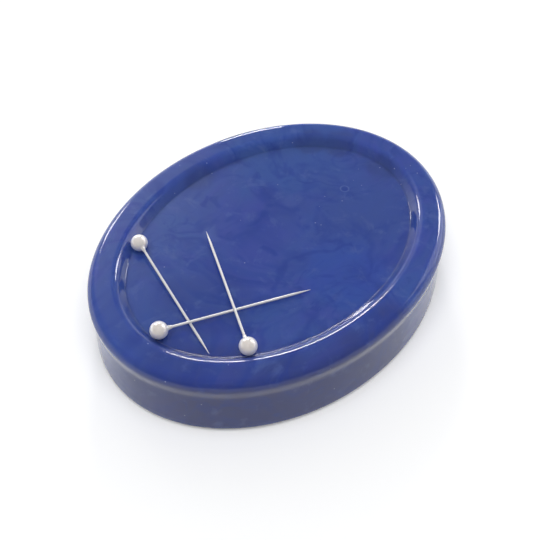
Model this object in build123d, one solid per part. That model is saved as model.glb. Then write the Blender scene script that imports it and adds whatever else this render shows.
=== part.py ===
# Magnetic pin bowl: a cast oval dish with disc magnets potted under its floor,
# and the three pearl-headed pins that lie in it.
# Millimetres. +Z is up, +X runs along the oval, the front is -Y.
# X = Y = 0 is the middle of the oval and Z = 0 the face that stands on the table.

import os
from math import atan2, cos, degrees, hypot, pi, radians, sin, sqrt, tan

from build123d import *

os.makedirs("parts", exist_ok=True)

# Used by every cut that has to run past the face it cuts
overrun = 2.0

# Base pad, stuck to the flat back of the casting
pad_thickness = 1.0
pad_inset = 3.0              # from the casting's lower edge

# Bowl casting, outside. Offsets are measured from the rim's widest line, an
# oval of eight arcs that meet smoothly, so each offset of it is exact.
lip_length = 97.6
lip_width = 76.0
end_arc_turn = 32            # degrees of the oval, from its long axis, on the end arc
shoulder_arc_turn = 65       # degrees at which the shoulder arc passes to the side arc
casting_height = 17.0
rim_outer_round = 2.5        # from the top of the rim to its widest line
lip_band = 0.45              # upright stretch below that round
lip_drop = 2.3               # height in which the lip draws in to the wall
lip_overhang = 0.34          # how far the lip stands over the top of the wall
lip_crest_round = 6.0
lip_hollow_round = 8.0
wall_flare = 0.97            # how far the wall runs out on its way down
base_edge_round = 0.4

# Bowl casting, dish
rim_width = 6.75             # widest line to the dish, edges taken as sharp
dish_depth = 2.45
dish_wall_lean = 40          # degrees from upright
rim_inner_round = 2.5
dish_floor_round = 0.6
round_fill_share = 0.95      # most of the dish wall that its two rounds may use

# Bowl casting, cavity under the dish
dish_floor_thickness = 2.6
side_wall = 7.0              # at the casting's lower edge
cavity_round = 3.0

# Back pour and magnets
pour_gap = 0.05              # all round each piece that is set in resin
magnet_diameter = 15.0
magnet_thickness = 3.0
magnet_edge_round = 0.3
magnet_margin = 3.0          # resin between a magnet and the cavity wall
ring_magnets = ("right", "rear_right", "rear_left", "left", "front_left", "front_right")

# Pins
pin_length = 38.0
head_diameter = 4.1
shaft_diameter = 0.6
point_length = 4.5
point_diameter = 0.06
neck_length = 0.9            # pearl that runs on down the shaft
neck_diameter = 1.2
neck_end_diameter = 0.8
head_socket_depth = 3.4      # from the end of the neck into the head
rest_gap = 0.08              # under and between things that lie on each other

# Where each pin's middle lies, in shares of the flat floor's half length and
# half width, and the way from its head to its point, in degrees from +X
lower_pin_place_shares = (-0.749, 0.109)
lower_pin_heading = -104.0
middle_pin_place_shares = (-0.556, -0.355)
middle_pin_heading = -24.3
upper_pin_place_shares = (-0.487, -0.126)
upper_pin_heading = 62.8

# Levels
casting_base = pad_thickness
rim_top = casting_base + casting_height
dish_floor = rim_top - dish_depth
cavity_ceiling = dish_floor - dish_floor_thickness
widest_line = rim_top - rim_outer_round - lip_band
wall_top = widest_line - lip_drop

# Dish wall, worked out from the sizes above
dish_wall_angle = 90 - dish_wall_lean
dish_wall_run = dish_depth * tan(radians(dish_wall_lean))
dish_wall_slant = dish_depth / cos(radians(dish_wall_lean))
round_reach = tan(radians(dish_wall_angle / 2))
rounds_scale = min(1, round_fill_share * dish_wall_slant
                   / ((rim_inner_round + dish_floor_round) * round_reach))
inner_round = rim_inner_round * rounds_scale
floor_round = dish_floor_round * rounds_scale
floor_inset = rim_width + dish_wall_run + floor_round * round_reach
floor_half_length = lip_length / 2 - floor_inset
floor_half_width = lip_width / 2 - floor_inset

base_offset = wall_flare - lip_overhang
head_radius = head_diameter / 2
shaft_radius = shaft_diameter / 2


def oval_arcs():
    """Centre, radius, start and end angle of each arc of the widest line. The
    shoulder arcs take an ellipse's radius there; the end and side arcs then
    follow from the length and the width."""
    half_length, half_width = lip_length / 2, lip_width / 2
    first, second = radians(end_arc_turn), radians(shoulder_arc_turn)
    middle = (first + second) / 2
    shoulder = (half_length * half_width)**2 / hypot(
        half_length * cos(middle), half_width * sin(middle))**3
    side_x, side_y = cos(second), 1 - sin(second)
    end_x, end_y = 1 - cos(first), sin(first)
    rest_x = half_length - shoulder * (cos(first) - cos(second))
    rest_y = half_width - shoulder * (sin(second) - sin(first))
    end = (rest_x * side_y - rest_y * side_x) / (end_x * side_y - end_y * side_x)
    side = (rest_y * end_x - rest_x * end_y) / (end_x * side_y - end_y * side_x)
    end_centre = half_length - end
    side_centre = half_width - side
    shoulder_centre = (end_centre + (end - shoulder) * cos(first), (end - shoulder) * sin(first))
    shoulder_turn = shoulder_arc_turn - end_arc_turn
    arcs = []
    for way in (0, 180):
        x_sign = 1 if way == 0 else -1
        arcs += [((x_sign * end_centre, 0), end, way - end_arc_turn, 2 * end_arc_turn),
                 ((0, x_sign * side_centre), side, way + shoulder_arc_turn, 180 - 2 * shoulder_arc_turn)]
        for x, y, start in ((shoulder_centre[0], shoulder_centre[1], end_arc_turn),
                            (shoulder_centre[0], -shoulder_centre[1], -shoulder_arc_turn)):
            arcs.append(((x_sign * x, x_sign * y), shoulder, way + start, shoulder_turn))
    return arcs


def oval_block(offset, bottom, top):
    """A block whose outline is the widest line at an offset."""
    outline = [CenterArc(centre, radius + offset, start, turn)
               for centre, radius, start, turn in oval_arcs()]
    return extrude(Plane.XY.offset(bottom) * make_face(outline), top - bottom)


# Bowl

def rim_section():
    """The casting's section from the edge of the dish's floor outwards."""
    dish_corner = (-rim_width - dish_wall_run, dish_floor)
    corners = [
        ((-floor_inset, casting_base), 0),
        ((base_offset, casting_base), base_edge_round),
        ((-lip_overhang, wall_top), lip_hollow_round),
        ((0, widest_line), lip_crest_round),
        ((0, rim_top), rim_outer_round),
        ((-rim_width, rim_top), inner_round),
        (dish_corner, floor_round),
    ]
    face = make_face(Polyline([point for point, _ in corners], close=True))
    for point, size in corners:
        if size:
            face = fillet(face.vertices().sort_by_distance(point)[0], size)
    return face


def ring_of_rim():
    """The section turned about the centre of each of the oval's arcs."""
    ring = []
    section = rim_section()
    for (x, y), radius, start, turn in oval_arcs():
        plane = Plane(origin=(x, y, 0), x_dir=(cos(radians(start)), sin(radians(start)), 0),
                      z_dir=(sin(radians(start)), -cos(radians(start)), 0))
        ring.append(revolve(plane * Pos(radius, 0) * section, Axis((x, y, 0), (0, 0, 1)), turn))
    return ring


def cavity_form(gap, bottom):
    """The space under the dish, or what fills it with a gap all round."""
    form = oval_block(base_offset - side_wall - gap, bottom, cavity_ceiling - gap)
    return fillet(form.edges().group_by(Axis.Z)[-1], cavity_round - gap)


def bowl_casting():
    floor = oval_block(-rim_width, casting_base, dish_floor)
    return floor.fuse(*ring_of_rim()) - cavity_form(0, casting_base - overrun)


def magnet_places():
    half_length = lip_length / 2 + base_offset - side_wall - magnet_margin - magnet_diameter / 2
    half_width = half_length - (lip_length - lip_width) / 2
    turn = 2 * pi / len(ring_magnets)
    places = {"centre": (0, 0)}
    for number, name in enumerate(ring_magnets):
        places[name] = (half_length * cos(number * turn), half_width * sin(number * turn))
    return places


def magnet(place):
    top = cavity_ceiling - pour_gap
    disc = Cylinder(magnet_diameter / 2, magnet_thickness, align=(Align.CENTER, Align.CENTER, Align.MAX))
    disc = fillet(disc.edges().filter_by(GeomType.CIRCLE), magnet_edge_round)
    return Pos(place[0], place[1], top) * disc


def back_pour():
    pour = cavity_form(pour_gap, casting_base)
    pocket_depth = magnet_thickness + pour_gap
    for place in magnet_places().values():
        pour -= Pos(place[0], place[1], cavity_ceiling - pour_gap) * Cylinder(
            magnet_diameter / 2 + pour_gap, pocket_depth + overrun,
            align=(Align.CENTER, Align.CENTER, Align.MAX)).moved(Pos(0, 0, overrun))
    return pour


def base_pad():
    return oval_block(base_offset - pad_inset, 0, pad_thickness)


# Pins

def dish_outline(steps=10):
    """The dish's section from the edge of its flat floor outwards, as pairs of
    distance out and height over the floor."""
    lean = radians(dish_wall_angle)
    width = floor_inset - rim_width + inner_round * round_reach
    lower = [(floor_round * sin(lean * n / steps), floor_round * (1 - cos(lean * n / steps)))
             for n in range(steps + 1)]
    upper = [(width - inner_round * sin(lean * n / steps),
              dish_depth - inner_round * (1 - cos(lean * n / steps))) for n in range(steps, -1, -1)]
    (foot_out, foot_up), (top_out, top_up) = lower[-1], upper[0]
    wall = [(foot_out + (top_out - foot_out) * n / steps, foot_up + (top_up - foot_up) * n / steps)
            for n in range(1, steps)]
    return lower + wall + upper + [(floor_inset, dish_depth)]


def distance_out(x, y):
    """How far outside the flat floor's edge a place is. Inside, it is negative."""
    out = -floor_half_width
    for centre, radius, start, turn in oval_arcs():
        way = degrees(atan2(y - centre[1], x - centre[0]))
        if (way - start) % 360 <= turn:
            out = max(out, hypot(x - centre[0], y - centre[1]) - (radius - floor_inset))
    return out


def rest_height(x, y, radius):
    """Height at which the centre of a ball of this radius clears the dish."""
    reach = radius + rest_gap
    height = dish_floor + reach
    out = distance_out(x, y)
    for point_out, point_up in dish_outline():
        if abs(out - point_out) < reach:
            height = max(height, dish_floor + point_up + sqrt(reach**2 - (out - point_out)**2))
    return height


def crossing(a, b):
    """Where pin a crosses pin b in plan, as shares of each one's length."""
    (ax, ay, _), (bx, by, _) = a[0], b[0]
    adx, ady = a[1][0] - ax, a[1][1] - ay
    bdx, bdy = b[1][0] - bx, b[1][1] - by
    cross = adx * bdy - ady * bdx
    return (((bx - ax) * bdy - (by - ay) * bdx) / cross,
            ((bx - ax) * ady - (by - ay) * adx) / cross)


def lay_pin(place_shares, heading, pins_below, rounds=6, stations=12):
    """Centre of the head and tip of the point of a pin that lies in the dish,
    tilted down to the floor or to the pin that it crosses."""
    span = pin_length - head_radius
    middle_x = place_shares[0] * floor_half_length
    middle_y = place_shares[1] * floor_half_width
    way_x, way_y = cos(radians(heading)), sin(radians(heading))
    drop = 0
    for _ in range(rounds):
        half = sqrt(span**2 - drop**2) / 2
        head_x, head_y = middle_x - half * way_x, middle_y - half * way_y
        tip_x, tip_y = middle_x + half * way_x, middle_y + half * way_y
        head_z = rest_height(head_x, head_y, head_radius)
        tip_z = rest_height(tip_x, tip_y, shaft_radius)
        for n in range(1, stations):
            share = n / stations
            needed = rest_height(head_x + (tip_x - head_x) * share,
                                 head_y + (tip_y - head_y) * share, shaft_radius)
            tip_z = max(tip_z, head_z + (needed - head_z) / share)
        for below in pins_below:
            share, share_below = crossing(((head_x, head_y, head_z), (tip_x, tip_y, tip_z)), below)
            if 0 < share < 1 and 0 < share_below < 1:
                under = below[0][2] + (below[1][2] - below[0][2]) * share_below
                needed = under + shaft_diameter + rest_gap
                tip_z = max(tip_z, head_z + (needed - head_z) / share)
        drop = head_z - tip_z
    return (head_x, head_y, head_z), (tip_x, tip_y, tip_z)


def pin_shaft():
    """A shaft along +Z whose head would be centred on the origin."""
    foot = head_radius + neck_length - head_socket_depth
    shoulder = pin_length - head_radius - point_length
    shaft = Pos(0, 0, foot) * Cylinder(
        shaft_radius, shoulder - foot, align=(Align.CENTER, Align.CENTER, Align.MIN))
    point = Pos(0, 0, shoulder) * Cone(
        shaft_radius, point_diameter / 2, point_length, align=(Align.CENTER, Align.CENTER, Align.MIN))
    return shaft + point


def pin_head():
    """A pearl centred on the origin, with its neck and socket towards +Z."""
    neck_foot = sqrt(head_radius**2 - (neck_diameter / 2)**2)
    neck_end = head_radius + neck_length
    neck = Pos(0, 0, neck_foot) * Cone(
        neck_diameter / 2, neck_end_diameter / 2, neck_end - neck_foot,
        align=(Align.CENTER, Align.CENTER, Align.MIN))
    socket = Pos(0, 0, neck_end - head_socket_depth) * Cylinder(
        shaft_radius, head_socket_depth + overrun, align=(Align.CENTER, Align.CENTER, Align.MIN))
    return Sphere(head_radius) + neck - socket


def along(ends):
    (hx, hy, hz), (tx, ty, tz) = ends
    return Plane(origin=(hx, hy, hz), z_dir=(tx - hx, ty - hy, tz - hz))


lower_ends = lay_pin(lower_pin_place_shares, lower_pin_heading, [])
middle_ends = lay_pin(middle_pin_place_shares, middle_pin_heading, [lower_ends])
upper_ends = lay_pin(upper_pin_place_shares, upper_pin_heading, [lower_ends, middle_ends])

parts = {
    "bowl_casting": bowl_casting(),
    "back_pour": back_pour(),
    "base_pad": base_pad(),
}
for name, place in magnet_places().items():
    parts[name + "_magnet"] = magnet(place)
for name, ends in (("lower", lower_ends), ("middle", middle_ends), ("upper", upper_ends)):
    parts[name + "_pin_shaft"] = along(ends) * pin_shaft()
    parts[name + "_pin_head"] = along(ends) * pin_head()
    print(name, "pin: head", [round(v, 3) for v in ends[0]], "tip", [round(v, 3) for v in ends[1]])

for name, shape in parts.items():
    export_step(shape, "parts/" + name + ".step")
    print(name, round(shape.volume, 2), len(shape.solids()), shape.is_valid)
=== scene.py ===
import math

import bmesh
import bpy
from mathutils import Matrix, Vector


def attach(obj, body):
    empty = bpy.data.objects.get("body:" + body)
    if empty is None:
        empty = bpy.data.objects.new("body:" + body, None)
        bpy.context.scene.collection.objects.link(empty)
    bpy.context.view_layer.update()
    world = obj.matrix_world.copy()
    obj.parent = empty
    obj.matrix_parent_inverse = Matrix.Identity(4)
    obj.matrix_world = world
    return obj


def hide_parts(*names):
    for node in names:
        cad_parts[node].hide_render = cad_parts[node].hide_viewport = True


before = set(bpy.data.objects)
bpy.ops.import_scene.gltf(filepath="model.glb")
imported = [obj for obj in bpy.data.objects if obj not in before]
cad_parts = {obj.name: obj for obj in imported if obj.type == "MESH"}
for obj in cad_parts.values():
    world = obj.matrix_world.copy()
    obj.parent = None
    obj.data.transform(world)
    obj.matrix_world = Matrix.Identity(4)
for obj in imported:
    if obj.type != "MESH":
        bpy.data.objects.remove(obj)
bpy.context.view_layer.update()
print("CAD frame loaded")


# Node helpers, used by the bowl's Geometry Nodes tree and by the materials

def wire(tree, value, socket):
    if isinstance(value, bpy.types.NodeSocket):
        tree.links.new(value, socket)
    else:
        socket.default_value = value


def addNode(tree, kind, inputs=None, **settings):
    node = tree.nodes.new(kind)
    for name, value in settings.items():
        setattr(node, name, value)
    for key, value in (inputs or {}).items():
        wire(tree, value, node.inputs[key])
    return node


def mathOf(tree, operation, a, b=0.0, c=0.0):
    return addNode(tree, "ShaderNodeMath", {0: a, 1: b, 2: c}, operation=operation).outputs[0]


def vectorOf(tree, operation, a, b, c=(0, 0, 0)):
    return addNode(tree, "ShaderNodeVectorMath", {0: a, 1: b, 2: c}, operation=operation).outputs[0]


def numberOf(tree, operation, a, b):
    # a distance or a dot product
    return addNode(tree, "ShaderNodeVectorMath", {0: a, 1: b}, operation=operation).outputs["Value"]


def scaledBy(tree, vector, factor):
    return addNode(tree, "ShaderNodeVectorMath", {0: vector, "Scale": factor}, operation="SCALE").outputs[0]


def mixColours(tree, factor, a, b):
    node = addNode(tree, "ShaderNodeMix", data_type="RGBA")
    wire(tree, factor, node.inputs["Factor"])
    wire(tree, a, node.inputs["A"])
    wire(tree, b, node.inputs["B"])
    return node.outputs["Result"]


def remap(tree, value, low, high, toLow=0.0, toHigh=1.0, smooth=False):
    node = addNode(tree, "ShaderNodeMapRange", {
        "Value": value, "From Min": low, "From Max": high, "To Min": toLow, "To Max": toHigh})
    if smooth:
        node.interpolation_type = "SMOOTHSTEP"
    return node.outputs["Result"]


def newMaterial(name):
    material = bpy.data.materials.new(name)
    material.use_nodes = True
    return material, material.node_tree, material.node_tree.nodes["Principled BSDF"]


def objectPlace(tree):
    return addNode(tree, "ShaderNodeTexCoord").outputs["Object"]


def grainAt(tree, place, scale, detail):
    return addNode(tree, "ShaderNodeTexNoise", {
        "Vector": place, "Scale": scale, "Detail": detail}).outputs["Fac"]


def addBump(tree, shader, height, strength, depth):
    bump = addNode(tree, "ShaderNodeBump", {"Height": height, "Strength": strength, "Distance": depth})
    tree.links.new(bump.outputs["Normal"], shader.inputs["Normal"])


# Marbled resin

resinLook = {
    "blue": (0.036, 0.074, 0.290, 1),
    "plum": (0.040, 0.064, 0.300, 1),
    "slate": (0.033, 0.067, 0.264, 1),
    "teal": (0.034, 0.082, 0.296, 1),
    "clearBlue": (0.022, 0.065, 0.325, 1),
    # a dusky tone of the resin, also laid as painted shade on the near outer wall
    "dusk": (0.026, 0.043, 0.185, 1),
    # dark veins of the resin, also laid as painted shade inside the crater
    "darkVein": (0.015, 0.042, 0.245, 1),
    # milky streaks of the resin, also laid as a painted highlight round the crater's rim
    "milk": (0.096, 0.155, 0.375, 1),
    "speck": (0.40, 0.48, 0.68, 1),
    # the colour of the painted dark reflections on the far wall
    "dull": (0.026, 0.048, 0.190, 1),
    # how the pattern is dragged about: size and reach in metres, seed
    "swirl": (0.026, 0.011, 1.3),
    "curl": (0.0090, 0.0030, 4.1),
    "drift": (0.009, 0.0025, 27.0),
    "fray": (0.004, 0.0010, 6.0),
    # broad clouds and a fine mottle: colour, share, and their size, noise range and seed
    "clouds": (
        ("plum", 0.70, (0.016, 0.42, 0.60, 2.0)),
        ("teal", 0.60, (0.011, 0.46, 0.66, 5.0)),
        ("slate", 0.45, (0.0035, 0.46, 0.66, 7.0)),
    ),
    # where one colour gathers: colour, place, radius, share
    "pools": (
        ("plum", (-0.0026, 0.0057, 0.01555), 0.015, 0.60),
        ("plum", (-0.0130, -0.0040, 0.01555), 0.013, 0.50),
        ("slate", (0.0227, -0.0097, 0.01555), 0.016, 0.70),
        ("slate", (0.0101, 0.0049, 0.01555), 0.009, 0.50),
        ("teal", (0.0268, 0.0229, 0.01600), 0.024, 0.80),
        ("teal", (-0.0177, 0.0194, 0.01555), 0.010, 0.50),
        ("clearBlue", (0.0050, -0.0205, 0.01555), 0.014, 0.55),
        # the first dusk pool is a tone in the dish floor; the rest are painted shade on the near outer wall
        # and lip, on the side towards the camera
        ("dusk", (-0.0260, -0.0030, 0.01555), 0.013, 0.30),
        ("dusk", (-0.0450, -0.0130, 0.00900), 0.016, 0.70),
        ("dusk", (-0.0390, -0.0240, 0.00900), 0.016, 0.95),
        ("dusk", (-0.0280, -0.0330, 0.00900), 0.016, 0.95),
        ("dusk", (-0.0150, -0.0385, 0.00900), 0.015, 0.90),
        ("dusk", (-0.0030, -0.0400, 0.00900), 0.015, 0.85),
        ("darkVein", (0.0210, 0.0062, 0.01560), 0.0030, 0.40),
        ("darkVein", (0.0054, -0.0208, 0.01560), 0.0052, 0.28),
        ("milk", (-0.0092, 0.0137, 0.01560), 0.0030, 0.24),
        ("milk", (0.0132, 0.0060, 0.01560), 0.0040, 0.14),
    ),
    # dark bands: share, size, width and seed, and the patches that keep them
    "bands": (
        (0.55, (0.013, 0.090, 11.0), (0.014, 0.44, 0.60, 14.0)),
        (0.40, (0.008, 0.080, 19.0), (0.011, 0.44, 0.60, 22.0)),
    ),
    "smoke": ("darkVein", 0.50, (0.0055, 0.52, 0.68, 13.0)),
    "wisps": ("milk", 0.28, (0.0036, 0.54, 0.74, 17.0)),
    # dark strokes drawn out in the pour, each a run from point to point
    "strokes": (
        ((-0.0114, -0.0117, 0.0156), (-0.0068, -0.0085, 0.0156), (-0.0026, -0.0074, 0.0156),
         (0.0011, -0.0089, 0.0156), (0.0071, -0.0130, 0.0156), (0.0118, -0.0154, 0.0156)),
        ((-0.0007, 0.0077, 0.0156), (0.0026, 0.0068, 0.0156), (0.0074, 0.0087, 0.0156)),
        ((-0.0045, 0.0205, 0.0156), (-0.0018, 0.0220, 0.0156)),
        ((-0.0008, 0.0211, 0.0156), (-0.0016, 0.0171, 0.0156)),
        ((0.0101, -0.0001, 0.0156), (0.0086, -0.0036, 0.0156)),
        ((-0.0041, 0.0, 0.0156), (-0.0036, -0.0047, 0.0156)),
    ),
    "strokeWidth": 0.0011,
    "strokeShare": 0.60,
    # dark spots along the far wall of the dish: painted dark reflections, laid into the colour
    "dullSpots": ((0.0325, 0.0180, 0.0169), (0.0372, 0.0120, 0.0169),
                  (0.0010, 0.0297, 0.0166), (0.0387, -0.0025, 0.0159)),
    "dullRadius": 0.0055,
    "dullShare": 0.50,
    # fine pale specks, one at most in each cell
    "cellsPerMetre": 480.0,
    "speckClusters": (0.010, 0.50, 0.62, 23.0),
    "clusterPull": 0.18,            # how much likelier a speck is inside a cluster
    "speckChance": 0.05,
    "speckEdge": (0.04, 0.10),      # in shares of a cell
    "speckShare": 0.50,
    # a small crater and a smudge ring in the floor of the dish; the crater's dark inside is painted shade and
    # its pale ring a painted highlight on its rim
    "crater": (0.02587, -0.00068, 0.01555),
    "craterRadius": 0.00110,
    "craterRim": 0.00035,
    "craterRimShare": 0.45,
    "craterFloorShare": 0.70,
    "craterBump": -0.8,
    "smudge": (0.03420, 0.00660, 0.01555),
    "smudgeRadius": 0.0033,
    "smudgeRim": 0.0008,
    "smudgeShare": 0.30,
    # the skin, with a slow ripple left by the mould: size, detail, noise roughness, seed
    "ripple": (0.007, 1.0, 0.5, 9.0),
    "rippleStrength": 0.25,
    "rippleHeight": 0.0001,
    "rub": (0.004, 4.0, 0.6, 31.0),
    "rubRange": (0.35, 0.75),
    "roughness": 0.035,
    "rubRoughness": 0.03,           # added where the skin is rubbed
    "ior": 1.5,
    "lightDepth": 0.0060,           # how far light spreads inside the resin
    "lightSpread": (0.4, 0.55, 1.0),
}


def noiseAt(tree, place, size, detail, roughness, seed):
    return addNode(tree, "ShaderNodeTexNoise", {
        "Vector": place, "W": seed, "Scale": 1 / size, "Detail": detail, "Roughness": roughness},
        noise_dimensions="4D")


def dragged(tree, place, size, reach, seed, middle=0.5, swing=0.25):
    # moves the places about by a noise that swings mostly that far from its middle
    noise = noiseAt(tree, place, size, 0.5, 0.5, seed).outputs["Color"]
    centred = vectorOf(tree, "SUBTRACT", noise, (middle, middle, middle))
    return vectorOf(tree, "ADD", place, scaledBy(tree, centred, reach / swing))


def ringAt(tree, place, centre, radius, width):
    fromRing = mathOf(tree, "SUBTRACT", numberOf(tree, "DISTANCE", place, centre), radius)
    return remap(tree, mathOf(tree, "ABSOLUTE", fromRing), 0.0, width, 1.0, 0.0, smooth=True)


def poolAt(tree, place, centre, radius, core=0.45):
    # one out to the core's share of the radius, falling to nothing at the radius
    gap = numberOf(tree, "DISTANCE", place, centre)
    return remap(tree, gap, radius * core, radius, 1.0, 0.0, smooth=True)


def strokeAt(tree, place, start, end, width, core=0.2):
    # one along the line from start to end, falling to nothing at the width
    along = Vector(end) - Vector(start)
    fromStart = vectorOf(tree, "SUBTRACT", place, start)
    reach = numberOf(tree, "DOT_PRODUCT", fromStart, tuple(along / along.length_squared))
    share = addNode(tree, "ShaderNodeClamp", {"Value": reach}).outputs[0]
    nearest = vectorOf(tree, "MULTIPLY_ADD", share, tuple(along), start)
    gap = numberOf(tree, "DISTANCE", place, nearest)
    return remap(tree, gap, width * core, width, 1.0, 0.0, smooth=True)


def cloudsAt(tree, place, size, low, high, seed, detail=3.0, roughness=0.55):
    fog = noiseAt(tree, place, size, detail, roughness, seed).outputs["Fac"]
    return remap(tree, fog, low, high, smooth=True)


def bandsAt(tree, place, size, width, seed, middle=0.5):
    # soft drawn-out bands where a noise crosses its middle
    noise = noiseAt(tree, place, size, 1.0, 0.5, seed).outputs["Fac"]
    gap = mathOf(tree, "ABSOLUTE", mathOf(tree, "SUBTRACT", noise, middle))
    return remap(tree, gap, 0.0, width, 1.0, 0.0, smooth=True)


def tinted(tree, colour, mask, share, tint):
    # lays a share of a tint over a colour, where the mask is
    return mixColours(tree, mathOf(tree, "MULTIPLY", mask, share), colour, tint)


def clouded(tree, place, colour, look, cloud):
    tint, share, shape = cloud
    return tinted(tree, colour, cloudsAt(tree, place, *shape), share, look[tint])


def marbledResin(name, look):
    material, tree, shader = newMaterial(name)
    place = objectPlace(tree)
    swirled = dragged(tree, place, *look["swirl"])
    curled = dragged(tree, swirled, *look["curl"])
    drifted = dragged(tree, place, *look["drift"])
    frayed = dragged(tree, place, *look["fray"])

    colour = look["blue"]
    for cloud in look["clouds"]:
        colour = clouded(tree, curled, colour, look, cloud)
    for tint, centre, radius, share in look["pools"]:
        colour = tinted(tree, colour, poolAt(tree, drifted, centre, radius), share, look[tint])

    # dark wisps drawn out along the swirls, and milky ones between them
    for share, shape, patches in look["bands"]:
        band = bandsAt(tree, curled, *shape)
        kept = mathOf(tree, "MULTIPLY", band, cloudsAt(tree, swirled, *patches))
        colour = tinted(tree, colour, kept, share, look["darkVein"])
    colour = clouded(tree, curled, colour, look, look["smoke"])
    colour = clouded(tree, drifted, colour, look, look["wisps"])

    stroke = 0.0
    for run in look["strokes"]:
        for start, end in zip(run, run[1:]):
            stroke = mathOf(tree, "MAXIMUM", stroke, strokeAt(tree, frayed, start, end, look["strokeWidth"]))
    colour = tinted(tree, colour, stroke, look["strokeShare"], look["darkVein"])
    # painted dark reflections on the far wall of the dish
    for spot in look["dullSpots"]:
        paintedReflectionMask = poolAt(tree, frayed, spot, look["dullRadius"])
        colour = tinted(tree, colour, paintedReflectionMask, look["dullShare"], look["dull"])

    cells = addNode(tree, "ShaderNodeTexVoronoi", {"Vector": place, "Scale": look["cellsPerMetre"]})
    lot = addNode(tree, "ShaderNodeTexWhiteNoise", {"Vector": cells.outputs["Position"]}).outputs["Value"]
    cluster = cloudsAt(tree, swirled, *look["speckClusters"])
    odds = mathOf(tree, "MULTIPLY_ADD", cluster, look["clusterPull"], lot)
    chosen = mathOf(tree, "GREATER_THAN", odds, 1 - look["speckChance"])
    dot = remap(tree, cells.outputs["Distance"], *look["speckEdge"], 1.0, 0.0)
    colour = tinted(tree, colour, mathOf(tree, "MULTIPLY", dot, chosen), look["speckShare"], look["speck"])

    # painted shade inside the crater and a painted highlight round its rim; the rim is also grooved by the
    # bump below
    craterRim = ringAt(tree, place, look["crater"], look["craterRadius"], look["craterRim"])
    craterPaintedShade = poolAt(tree, place, look["crater"], look["craterRadius"])
    smudge = ringAt(tree, place, look["smudge"], look["smudgeRadius"], look["smudgeRim"])
    colour = tinted(tree, colour, craterPaintedShade, look["craterFloorShare"], look["darkVein"])
    colour = tinted(tree, colour, craterRim, look["craterRimShare"], look["milk"])
    colour = tinted(tree, colour, smudge, look["smudgeShare"], look["darkVein"])
    tree.links.new(colour, shader.inputs["Base Color"])

    ripple = noiseAt(tree, place, *look["ripple"]).outputs["Fac"]
    height = mathOf(tree, "MULTIPLY_ADD", craterRim, look["craterBump"], ripple)
    addBump(tree, shader, height, look["rippleStrength"], look["rippleHeight"])
    rub = noiseAt(tree, place, *look["rub"]).outputs["Fac"]
    rubbed = look["roughness"] + look["rubRoughness"]
    tree.links.new(remap(tree, rub, *look["rubRange"], look["roughness"], rubbed), shader.inputs["Roughness"])
    shader.inputs["IOR"].default_value = look["ior"]
    shader.inputs["Subsurface Weight"].default_value = 1.0
    shader.inputs["Subsurface Scale"].default_value = look["lightDepth"]
    shader.inputs["Subsurface Radius"].default_value = look["lightSpread"]
    return material


# Bowl casting: its section, carried round the oval by a Geometry Nodes tree

bowlSizes = {
    "lipLength": 0.0976,
    "lipWidth": 0.0760,
    "standsAt": 0.0010,
    "castingHeight": 0.0170,
    "rimOuterRound": 0.0025,
    "lipBand": 0.00045,
    "lipDrop": 0.0023,
    "lipOverhang": 0.00034,
    "lipCrestRound": 0.0060,
    "lipHollowRound": 0.0080,
    "wallFlare": 0.00097,
    "baseEdgeRound": 0.0004,
    "rimWidth": 0.00675,
    "dishDepth": 0.00245,
    "dishWallLean": 40.0,           # degrees from upright
    "rimInnerRound": 0.0025,
    "dishFloorRound": 0.0006,
    "floorThickness": 0.0026,
    "sideWall": 0.0070,
    "cavityRound": 0.0030,
    # how finely it is meshed
    "stepsRound": 384,
    "sectionStep": 0.0011,
    "floorSteps": 30,
    "ceilingSteps": 10,
    # the slow waves of a hand-made mould
    "waveHeight": 0.00005,
    "waveScale": 70.0,
    "waveSeed": 3,
}


def roundedCorner(before, corner, after, radius, steps):
    # points of the arc that rounds a corner between two straight runs
    corner = Vector(corner)
    inWay = (Vector(before) - corner).normalized()
    outWay = (Vector(after) - corner).normalized()
    half = inWay.angle(outWay) / 2
    centre = corner + (inWay + outWay).normalized() * (radius / math.sin(half))
    start = corner + inWay * (radius / math.tan(half)) - centre
    end = corner + outWay * (radius / math.tan(half)) - centre
    turn = start.angle(end)
    points = []
    for step in range(steps + 1):
        share = step / steps
        spoke = start * math.sin((1 - share) * turn) + end * math.sin(share * turn)
        points.append(centre + spoke / math.sin(turn))
    return points


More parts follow.
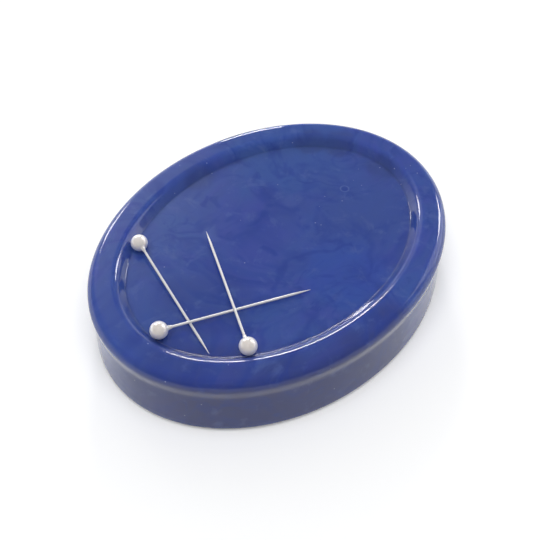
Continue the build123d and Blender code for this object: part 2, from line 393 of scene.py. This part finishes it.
def bowlSection(s):
    # rows of (offset from the lip, height, share of the way out from the middle)
    base = s["standsAt"]
    rimTop = base + s["castingHeight"]
    floor = rimTop - s["dishDepth"]
    ceiling = floor - s["floorThickness"]
    widest = rimTop - s["rimOuterRound"] - s["lipBand"]
    wallTop = widest - s["lipDrop"]
    baseOut = s["wallFlare"] - s["lipOverhang"]
    wallFoot = -s["rimWidth"] - s["dishDepth"] * math.tan(math.radians(s["dishWallLean"]))
    cavityOut = baseOut - s["sideWall"]
    inwards = 0.01          # the first and last rows only give the way in
    corners = [             # corner, radius and steps of its round
        ((wallFoot - inwards, floor), 0, 0),
        ((wallFoot, floor), s["dishFloorRound"], 12),
        ((-s["rimWidth"], rimTop), s["rimInnerRound"], 14),
        ((0, rimTop), s["rimOuterRound"], 16),
        ((0, widest), s["lipCrestRound"], 3),
        ((-s["lipOverhang"], wallTop), s["lipHollowRound"], 5),
        ((baseOut, base), s["baseEdgeRound"], 5),
        ((cavityOut, base), 0, 0),
        ((cavityOut, ceiling), s["cavityRound"], 6),
        ((cavityOut - inwards, ceiling), 0, 0),
    ]
    rows = []
    for before, (corner, radius, steps), after in zip(corners, corners[1:], corners[2:]):
        points = [Vector(corner)]
        if radius:
            points = roundedCorner(before[0], corner, after[0], radius, steps)
        if rows:
            last = Vector(rows[-1])
            between = int((points[0] - last).length / s["sectionStep"])
            rows += [tuple(last.lerp(points[0], (n + 1) / (between + 1))) for n in range(between)]
        rows += [tuple(point) for point in points]
    section = [(*rows[0], n / s["floorSteps"]) for n in range(s["floorSteps"])]
    section += [(*row, 1.0) for row in rows]
    section += [(*rows[-1], n / s["ceilingSteps"]) for n in range(s["ceilingSteps"] - 1, -1, -1)]
    return section


def sectionObject(name, section):
    mesh = bpy.data.meshes.new(name)
    mesh.from_pydata([(offset, 0, height) for offset, height, _ in section],
                     [(n, n + 1) for n in range(len(section) - 1)], [])
    outward = mesh.attributes.new("outward", "FLOAT", "POINT")
    outward.data.foreach_set("value", [row[2] for row in section])
    piece = bpy.data.objects.new(name, mesh)
    bpy.context.collection.objects.link(piece)
    return piece


def newTree(name, sizes):
    tree = bpy.data.node_groups.new(name, "GeometryNodeTree")
    tree.interface.new_socket("Geometry", in_out="INPUT", socket_type="NodeSocketGeometry")
    for size, value in sizes.items():
        kind = "NodeSocketInt" if isinstance(value, int) else "NodeSocketFloat"
        tree.interface.new_socket(size, in_out="INPUT", socket_type=kind).default_value = value
    tree.interface.new_socket("Geometry", in_out="OUTPUT", socket_type="NodeSocketGeometry")
    return tree, tree.nodes.new("NodeGroupInput"), tree.nodes.new("NodeGroupOutput")


def keptPlaces(tree, curve, label, position):
    # a curve that carries the places of its own points along with it
    kept = addNode(tree, "GeometryNodeCaptureAttribute", {"Geometry": curve})
    kept.capture_items.new("VECTOR", label)
    tree.links.new(position, kept.inputs[label])
    split = addNode(tree, "ShaderNodeSeparateXYZ", {0: kept.outputs[label]})
    return kept.outputs["Geometry"], split.outputs


def ovalSweepTree(material):
    # carries a section round an oval: each point keeps its offset square to the oval
    tree, given, result = newTree("ovalSweep", {
        "Half Length": 0.05, "Half Width": 0.04, "Steps Round": 128,
        "Wave Height": 0.0, "Wave Scale": 1.0, "Wave Seed": 0})
    sizes = given.outputs
    halfLength, halfWidth = sizes["Half Length"], sizes["Half Width"]
    position = addNode(tree, "GeometryNodeInputPosition").outputs[0]
    section = addNode(tree, "GeometryNodeMeshToCurve", {"Mesh": sizes["Geometry"]}).outputs["Curve"]
    profile, place = keptPlaces(tree, section, "Place", position)
    circle = addNode(tree, "GeometryNodeCurvePrimitiveCircle", {
        "Resolution": sizes["Steps Round"], "Radius": 1.0}).outputs["Curve"]
    rail, turn = keptPlaces(tree, circle, "Turn", position)
    swept = addNode(tree, "GeometryNodeCurveToMesh", {"Curve": rail, "Profile Curve": profile})

    onOval = addNode(tree, "ShaderNodeCombineXYZ", {
        "X": mathOf(tree, "MULTIPLY", halfLength, turn["X"]),
        "Y": mathOf(tree, "MULTIPLY", halfWidth, turn["Y"])}).outputs[0]
    outWay = addNode(tree, "ShaderNodeCombineXYZ", {
        "X": mathOf(tree, "MULTIPLY", halfWidth, turn["X"]),
        "Y": mathOf(tree, "MULTIPLY", halfLength, turn["Y"])}).outputs[0]
    square = addNode(tree, "ShaderNodeVectorMath", {0: outWay}, operation="NORMALIZE").outputs[0]
    ring = vectorOf(tree, "ADD", onOval, scaledBy(tree, square, place["X"]))
    outward = addNode(tree, "GeometryNodeInputNamedAttribute", {"Name": "outward"}, data_type="FLOAT")
    flat = scaledBy(tree, ring, outward.outputs["Attribute"])
    lift = addNode(tree, "ShaderNodeCombineXYZ", {"Z": place["Z"]}).outputs[0]
    shaped = addNode(tree, "GeometryNodeSetPosition", {
        "Geometry": swept.outputs["Mesh"], "Position": vectorOf(tree, "ADD", flat, lift)})
    merged = addNode(tree, "GeometryNodeMergeByDistance", {
        "Geometry": shaped.outputs["Geometry"], "Distance": 0.00001})

    # the waves only ever go inwards
    wave = addNode(tree, "ShaderNodeTexNoise", {
        "Vector": position, "W": sizes["Wave Seed"], "Scale": sizes["Wave Scale"], "Detail": 1.0},
        noise_dimensions="4D").outputs["Fac"]
    depth = mathOf(tree, "MULTIPLY", mathOf(tree, "SUBTRACT", wave, 1.0), sizes["Wave Height"])
    normal = addNode(tree, "GeometryNodeInputNormal").outputs[0]
    waved = addNode(tree, "GeometryNodeSetPosition", {
        "Geometry": merged.outputs["Geometry"], "Offset": scaledBy(tree, normal, depth)})
    smooth = addNode(tree, "GeometryNodeSetShadeSmooth", {"Geometry": waved.outputs["Geometry"]})
    real = addNode(tree, "GeometryNodeRealizeInstances", {"Geometry": smooth.outputs["Geometry"]})
    finished = addNode(tree, "GeometryNodeSetMaterial", {
        "Geometry": real.outputs["Geometry"], "Material": material})
    tree.links.new(finished.outputs["Geometry"], result.inputs["Geometry"])
    return tree


def growFromTree(piece, tree, values):
    # runs a tree on a piece and returns the result as a plain mesh piece of the same name
    modifier = piece.modifiers.new("grow", "NODES")
    modifier.node_group = tree
    for item in tree.interface.items_tree:
        if item.in_out == "INPUT" and item.name in values:
            modifier[item.identifier] = values[item.name]
    evaluated = piece.evaluated_get(bpy.context.evaluated_depsgraph_get())
    mesh = bpy.data.meshes.new_from_object(evaluated)
    name = piece.name
    bpy.data.objects.remove(piece)
    plain = bpy.data.objects.new(name, mesh)
    bpy.context.collection.objects.link(plain)
    return plain


def faceOutwards(piece):
    work = bmesh.new()
    work.from_mesh(piece.data)
    bmesh.ops.recalc_face_normals(work, faces=work.faces)
    if work.calc_volume(signed=True) < 0:
        bmesh.ops.reverse_faces(work, faces=work.faces)
    work.to_mesh(piece.data)
    work.free()


resin = marbledResin("marbledResin", resinLook)
sweep = ovalSweepTree(resin)
bowl = growFromTree(sectionObject("glossyBowl", bowlSection(bowlSizes)), sweep, {
    "Half Length": bowlSizes["lipLength"] / 2, "Half Width": bowlSizes["lipWidth"] / 2,
    "Steps Round": bowlSizes["stepsRound"], "Wave Height": bowlSizes["waveHeight"],
    "Wave Scale": bowlSizes["waveScale"], "Wave Seed": bowlSizes["waveSeed"]})
faceOutwards(bowl)
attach(bowl, "bowl")
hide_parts("bowl_casting")
print("bowl made,", len(bowl.data.polygons), "faces")


# Back pour, magnets and base pad keep their CAD shapes

pourLook = {
    "dark": (0.020, 0.036, 0.150, 1),
    "light": (0.036, 0.062, 0.250, 1),
    "clouds": (90.0, 5.0),          # scale and detail, here and below
    "grain": (2600.0, 2.0),
    "grainRange": (0.3, 0.7),
    "roughness": (0.32, 0.55),
    "bumpStrength": 0.3,
    "bumpHeight": 0.00005,
}
magnetLook = {
    "tarnished": (0.50, 0.47, 0.42, 1),
    "bright": (0.68, 0.66, 0.62, 1),
    "tarnish": (260.0, 4.0),
    "tarnishRange": (0.3, 0.7),
    "roughness": (0.14, 0.26),
}
padLook = {
    "black": (0.014, 0.014, 0.015, 1),
    "dusty": (0.035, 0.034, 0.033, 1),
    "dust": (300.0, 5.0),
    "dustRange": (0.4, 0.75),
    "pebbleScale": 2400.0,
    "pebbleRange": (0.0, 0.7),
    "roughness": (0.55, 0.85),
    "bumpStrength": 0.6,
    "bumpHeight": 0.00012,
}


def pouredResin(name, look):
    material, tree, shader = newMaterial(name)
    place = objectPlace(tree)
    clouds = grainAt(tree, place, *look["clouds"])
    grain = grainAt(tree, place, *look["grain"])
    tree.links.new(mixColours(tree, clouds, look["dark"], look["light"]), shader.inputs["Base Color"])
    roughness = remap(tree, grain, *look["grainRange"], *look["roughness"])
    tree.links.new(roughness, shader.inputs["Roughness"])
    addBump(tree, shader, grain, look["bumpStrength"], look["bumpHeight"])
    return material


def nickelPlate(name, look):
    material, tree, shader = newMaterial(name)
    tarnish = grainAt(tree, objectPlace(tree), *look["tarnish"])
    colour = mixColours(tree, tarnish, look["tarnished"], look["bright"])
    tree.links.new(colour, shader.inputs["Base Color"])
    roughness = remap(tree, tarnish, *look["tarnishRange"], *look["roughness"])
    tree.links.new(roughness, shader.inputs["Roughness"])
    shader.inputs["Metallic"].default_value = 1.0
    return material


def padRubber(name, look):
    material, tree, shader = newMaterial(name)
    place = objectPlace(tree)
    pebbles = addNode(tree, "ShaderNodeTexVoronoi", {
        "Vector": place, "Scale": look["pebbleScale"]}).outputs["Distance"]
    dust = remap(tree, grainAt(tree, place, *look["dust"]), *look["dustRange"])
    tree.links.new(mixColours(tree, dust, look["black"], look["dusty"]), shader.inputs["Base Color"])
    roughness = remap(tree, pebbles, *look["pebbleRange"], *look["roughness"])
    tree.links.new(roughness, shader.inputs["Roughness"])
    addBump(tree, shader, pebbles, look["bumpStrength"], look["bumpHeight"])
    return material


def dressNode(node, material):
    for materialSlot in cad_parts[node].material_slots:
        materialSlot.material = material


dressNode("back_pour", pouredResin("backingResin", pourLook))
dressNode("base_pad", padRubber("padRubber", padLook))
nickel = nickelPlate("nickelPlate", magnetLook)
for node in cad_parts:
    if node.endswith("_magnet"):
        dressNode(node, nickel)
print("inside pieces dressed")


# Pins: each is turned on its own axis, from the head's centre to the point

pinSizes = {
    "length": 0.038,
    "headDiameter": 0.0041,
    "shaftDiameter": 0.0006,
    "pointLength": 0.0045,
    "pointDiameter": 0.00006,
    "pointCurve": 1.35,             # over 1, the ground point is a slim ogive
    "neckLength": 0.0009,
    "neckDiameter": 0.0012,
    "neckEndDiameter": 0.0008,
    "neckCurve": 1.7,
    "socketDepth": 0.0034,
    # how finely they are meshed
    "shaftStepsRound": 24,
    "headStepsRound": 48,
    "shaftSteps": 24,
    "pointSteps": 20,
    "headSteps": 40,
    "neckSteps": 8,
}
pinEnds = {     # head centre and tip, in metres, as the CAD lays them
    "lower": ((-0.025403, 0.020572, 0.017680), (-0.034089, -0.014269, 0.015930)),
    "middle": ((-0.038444, -0.002876, 0.017680), (-0.005718, -0.017653, 0.015930)),
    "upper": ((-0.027556, -0.019629, 0.017680), (-0.011126, 0.012342, 0.017127)),
}
steelLook = {
    "grey": (0.74, 0.715, 0.70, 1),
    "bright": (0.84, 0.82, 0.81, 1),
    "drawn": (0.0002, 2.0, 0.5, 3.0),       # size, detail, noise roughness, seed
    "drawnRange": (0.3, 0.7),
    "roughness": (0.30, 0.38),
    "metallic": 0.5,
}
pearlLook = {
    "warm": (0.71, 0.640, 0.595, 1),
    "pale": (0.81, 0.77, 0.74, 1),
    # a painted sheen: the paler colour towards the bead's rim, and how it is blended in
    "edge": (0.92, 0.90, 0.915, 1),
    "drift": (420.0, 3.0),                  # scale and detail
    "edgeBlend": 0.45,
    "edgeRange": (0.15, 0.75),
    "roughness": 0.28,
    "metallic": 0.25,
    "glow": 0.4,
    "lightDepth": 0.0015,
    "lightSpread": (1.0, 0.9, 0.85),
    "coatIor": 1.65,
    "coatRoughness": 0.07,
    "sheen": 0.25,
    "bumpStrength": 0.15,
    "bumpHeight": 0.00006,
}


def turned(name, outline, start, end, material, stepsRound):
    # a closed solid turned from an outline of (distance along, radius) rows
    start, end = Vector(start), Vector(end)
    turn = (end - start).to_track_quat("Z", "X").to_matrix().to_4x4()
    placed = Matrix.Translation(start) @ turn
    angles = [2 * math.pi * n / stepsRound for n in range(stepsRound)]
    work = bmesh.new()
    rings = []
    for along, radius in outline:
        spots = [(radius * math.cos(angle), radius * math.sin(angle), along) for angle in angles]
        if radius == 0:
            spots = [(0, 0, along)]
        rings.append([work.verts.new(placed @ Vector(spot)) for spot in spots])
    for first, second in zip(rings, rings[1:]):
        for n in range(stepsRound):
            after = (n + 1) % stepsRound
            if len(first) == 1:
                work.faces.new((first[0], second[n], second[after]))
            elif len(second) == 1:
                work.faces.new((first[n], first[after], second[0]))
            else:
                work.faces.new((first[n], first[after], second[after], second[n]))
    bmesh.ops.recalc_face_normals(work, faces=work.faces)
    mesh = bpy.data.meshes.new(name)
    work.to_mesh(mesh)
    work.free()
    mesh.shade_smooth()
    mesh.materials.append(material)
    piece = bpy.data.objects.new(name, mesh)
    bpy.context.collection.objects.link(piece)
    return piece


def shaftOutline(s):
    radius = s["shaftDiameter"] / 2
    foot = s["headDiameter"] / 2 + s["neckLength"] - s["socketDepth"]
    tip = s["length"] - s["headDiameter"] / 2
    shoulder = tip - s["pointLength"]
    rows = [(foot, 0), (foot, radius * 0.97), (foot + radius * 0.05, radius)]     # with a broken edge
    for n in range(1, s["shaftSteps"] + 1):
        rows.append((foot + (shoulder - foot) * n / s["shaftSteps"], radius))
    for n in range(1, s["pointSteps"] + 1):
        share = n / s["pointSteps"]
        thinner = (s["pointDiameter"] / 2 - radius) * share ** s["pointCurve"]
        rows.append((shoulder + s["pointLength"] * share, radius + thinner))
    return rows + [(tip, 0)]


def headOutline(s):
    radius = s["headDiameter"] / 2
    bore = s["shaftDiameter"] / 2
    neckFoot = math.sqrt(radius ** 2 - (s["neckDiameter"] / 2) ** 2)
    neckEnd = radius + s["neckLength"]
    foot = neckEnd - s["socketDepth"]
    join = math.acos(neckFoot / radius)
    rows = [(-radius, 0)]
    for n in range(1, s["headSteps"]):
        angle = math.pi * n / s["headSteps"]
        if angle < math.pi - join - 0.02:       # clear of the neck's first row
            rows.append((-radius * math.cos(angle), radius * math.sin(angle)))
    for n in range(s["neckSteps"] + 1):         # pearl coating drawn down on to the shaft
        share = n / s["neckSteps"]
        thicker = (s["neckDiameter"] - s["neckEndDiameter"]) / 2 * (1 - share) ** s["neckCurve"]
        rows.append((neckFoot + (neckEnd - neckFoot) * share, s["neckEndDiameter"] / 2 + thicker))
    return rows + [(neckEnd, bore), (foot, bore), (foot, 0)]


def pinSteel(name, look):
    material, tree, shader = newMaterial(name)
    drawn = noiseAt(tree, objectPlace(tree), *look["drawn"]).outputs["Fac"]
    tree.links.new(mixColours(tree, drawn, look["grey"], look["bright"]), shader.inputs["Base Color"])
    roughness = remap(tree, drawn, *look["drawnRange"], *look["roughness"])
    tree.links.new(roughness, shader.inputs["Roughness"])
    shader.inputs["Metallic"].default_value = look["metallic"]
    return material


def pearlCoat(name, look):
    material, tree, shader = newMaterial(name)
    drift = grainAt(tree, objectPlace(tree), *look["drift"])
    # paler where the surface turns away from the view: a painted sheen
    facing = addNode(tree, "ShaderNodeLayerWeight", {"Blend": look["edgeBlend"]}).outputs["Facing"]
    middle = mixColours(tree, drift, look["warm"], look["pale"])
    colour = mixColours(tree, remap(tree, facing, *look["edgeRange"], smooth=True), middle, look["edge"])
    tree.links.new(colour, shader.inputs["Base Color"])
    shader.inputs["Roughness"].default_value = look["roughness"]
    shader.inputs["Metallic"].default_value = look["metallic"]
    shader.inputs["Subsurface Weight"].default_value = look["glow"]
    shader.inputs["Subsurface Scale"].default_value = look["lightDepth"]
    shader.inputs["Subsurface Radius"].default_value = look["lightSpread"]
    shader.inputs["Coat Weight"].default_value = 1.0
    shader.inputs["Coat IOR"].default_value = look["coatIor"]
    shader.inputs["Coat Roughness"].default_value = look["coatRoughness"]
    shader.inputs["Sheen Weight"].default_value = look["sheen"]
    addBump(tree, shader, drift, look["bumpStrength"], look["bumpHeight"])
    return material


steel = pinSteel("pinSteel", steelLook)
pearl = pearlCoat("pearlCoat", pearlLook)
for which, (head, tip) in pinEnds.items():
    shaft = turned(which + "PinShaft", shaftOutline(pinSizes), head, tip, steel, pinSizes["shaftStepsRound"])
    bead = turned(which + "PearlHead", headOutline(pinSizes), head, tip, pearl, pinSizes["headStepsRound"])
    for piece, node, finish in ((shaft, "_pin_shaft", "pin_steel"), (bead, "_pin_head", "pearl")):
        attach(piece, which + "_pin")
        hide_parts(which + node)
print("pins made")


# Floor, light and camera

studio = {
    "floorColour": (0.97, 0.97, 0.97, 1),
    "floorBounce": (0.30, 0.30, 0.30, 1),      # what the table gives back to the bowl
    "floorRoughness": 0.7,
    "floorSize": 3.0,
    "roomColour": (0.98, 0.99, 1.0, 1),
    "skyAhead": 0.38,
    "skyBehind": 0.32,
    "skyTurn": (-0.7, 0.3),         # cosines, from behind the camera to ahead of it
    "skyAside": 1.2,                # more low down, at the sides and ahead
    "asideTurn": (-0.6, 0.1),
    "asideTop": 0.45,
    "glowTurn": 24,                 # a soft bright place in the sky, in degrees
    "glowRise": 36,
    "glowWidth": 20,
    "glowStrength": 0.9,
    "lampDistance": 1.6,
    "lampColour": (1.0, 0.985, 0.965),
    "fillRise": 72,                 # degrees, on the camera's side
    "fillWidth": 1.7,
    "fillGlow": 3.05,
}
# turn: degrees left of straight behind the bowl; rise: degrees over the table;
# wide, tall: degrees; lights: whether it lights the dull surfaces too, or only
# shows in the gloss
lamps = {
    "windowAhead": {"turn": 4.5, "rise": 27, "wide": 8, "tall": 7, "glow": 30.0, "lights": True},
    "windowLeft": {"turn": 33, "rise": 29, "wide": 9, "tall": 11, "glow": 15.0, "lights": False},
    "windowRight": {"turn": -40, "rise": 34, "wide": 9, "tall": 11, "glow": 16.0, "lights": False},
    "softRight": {"turn": -60, "rise": 28, "wide": 26, "tall": 38, "glow": 1.6, "lights": False},
}
photoView = {
    "azimuth": -45.044,
    "elevation": 49.821,
    "roll": 0.020,
    "distance": 0.185091,
    "shiftRight": -0.000904,
    "shiftUp": 0.002205,
    "focal": 700.44,                # in pixels of the frame
    "frameWidth": 540,
    "sensorWidth": 36.0,
}


def viewAxes(azimuth, elevation, roll=0.0):
    # right, up and back of a view, in degrees
    a, e, r = (math.radians(angle) for angle in (azimuth, elevation, roll))
    back = Vector((math.sin(a) * math.cos(e), -math.cos(a) * math.cos(e), math.sin(e)))
    right = Vector((0, 0, 1)).cross(back).normalized()
    up = back.cross(right)
    return (right * math.cos(r) + up * math.sin(r), up * math.cos(r) - right * math.sin(r), back)


def facingMatrix(place, right, up, back):
    return Matrix.Translation(place) @ Matrix((right, up, back)).transposed().to_4x4()


def makeFloor(s):
    half = s["floorSize"] / 2
    corners = [(-half, -half, 0), (half, -half, 0), (half, half, 0), (-half, half, 0)]
    mesh = bpy.data.meshes.new("whiteTable")
    mesh.from_pydata(corners, [], [(0, 1, 2, 3)])
    material, tree, shader = newMaterial("whiteTable")
    rays = addNode(tree, "ShaderNodeLightPath").outputs
    seen = mathOf(tree, "MAXIMUM", rays["Is Camera Ray"], rays["Is Glossy Ray"])
    seen = mathOf(tree, "MAXIMUM", seen, rays["Is Transmission Ray"])
    tree.links.new(mixColours(tree, seen, s["floorBounce"], s["floorColour"]), shader.inputs["Base Color"])
    shader.inputs["Roughness"].default_value = s["floorRoughness"]
    mesh.materials.append(material)
    floor = bpy.data.objects.new("whiteTable", mesh)
    bpy.context.collection.objects.link(floor)


def makeRoom(s):
    world = bpy.data.worlds.new("room")
    world.use_nodes = True
    tree = world.node_tree
    tree.nodes.clear()
    direction = addNode(tree, "ShaderNodeTexCoord").outputs["Generated"]
    back = viewAxes(photoView["azimuth"], 0)[2]
    along = numberOf(tree, "DOT_PRODUCT", direction, tuple(-back))
    ahead = remap(tree, along, *s["skyTurn"], s["skyBehind"], s["skyAhead"], smooth=True)
    height = addNode(tree, "ShaderNodeSeparateXYZ", {0: direction}).outputs["Z"]
    lowDown = remap(tree, height, 0.0, s["asideTop"], 1.0, 0.0, smooth=True)
    aside = mathOf(tree, "MULTIPLY", lowDown, remap(tree, along, *s["asideTurn"], smooth=True))
    strength = mathOf(tree, "MULTIPLY_ADD", aside, s["skyAside"], ahead)
    glowWay = viewAxes(photoView["azimuth"] + 180 + s["glowTurn"], s["glowRise"])[2]
    toGlow = numberOf(tree, "DOT_PRODUCT", direction, tuple(glowWay))
    glow = remap(tree, toGlow, math.cos(math.radians(s["glowWidth"])), 1.0, smooth=True)
    strength = mathOf(tree, "MULTIPLY_ADD", glow, s["glowStrength"], strength)
    room = addNode(tree, "ShaderNodeBackground", {"Color": s["roomColour"], "Strength": strength})
    addNode(tree, "ShaderNodeOutputWorld", {"Surface": room.outputs[0]})
    bpy.context.scene.world = world


def placeLamp(name, data, turn, rise, away):
    # hangs a lamp that faces the bowl, in degrees from straight behind it
    right, up, back = viewAxes(photoView["azimuth"] + 180 + turn, rise)
    lamp = bpy.data.objects.new(name, data)
    lamp.matrix_world = facingMatrix(back * away, right, up, back)
    bpy.context.collection.objects.link(lamp)
    return lamp


def makeWindow(name, s, away, colour):
    data = bpy.data.lights.new(name, "AREA")
    data.shape = "RECTANGLE"
    data.size = 2 * away * math.tan(math.radians(s["wide"] / 2))
    data.size_y = 2 * away * math.tan(math.radians(s["tall"] / 2))
    data.energy = s["glow"] * math.pi * data.size * data.size_y
    data.color = colour
    window = placeLamp(name, data, s["turn"], s["rise"], away)
    window.visible_diffuse = s["lights"]


def makeFill(s):
    # soft light from nearly overhead that doesn't show in the gloss
    data = bpy.data.lights.new("ceilingFill", "AREA")
    data.shape = "DISK"
    data.size = s["fillWidth"]
    data.energy = s["fillGlow"] * math.pi * math.pi * data.size ** 2 / 4
    fill = placeLamp("ceilingFill", data, 180, s["fillRise"], s["lampDistance"])
    fill.visible_glossy = False


def makeCamera(s):
    right, up, back = viewAxes(s["azimuth"], s["elevation"], s["roll"])
    place = right * s["shiftRight"] + up * s["shiftUp"] + back * s["distance"]
    data = bpy.data.cameras.new("photoCamera")
    data.sensor_fit = "HORIZONTAL"
    data.sensor_width = s["sensorWidth"]
    data.lens = s["focal"] * s["sensorWidth"] / s["frameWidth"]
    data.clip_start, data.clip_end = 0.005, 20
    camera = bpy.data.objects.new("photoCamera", data)
    camera.matrix_world = facingMatrix(place, right, up, back)
    bpy.context.collection.objects.link(camera)
    bpy.context.scene.camera = camera


makeFloor(studio)
makeRoom(studio)
for name, lamp in lamps.items():
    makeWindow(name, lamp, studio["lampDistance"], studio["lampColour"])
makeFill(studio)
makeCamera(photoView)
bpy.context.scene.view_settings.view_transform = "Standard"
print("studio made")
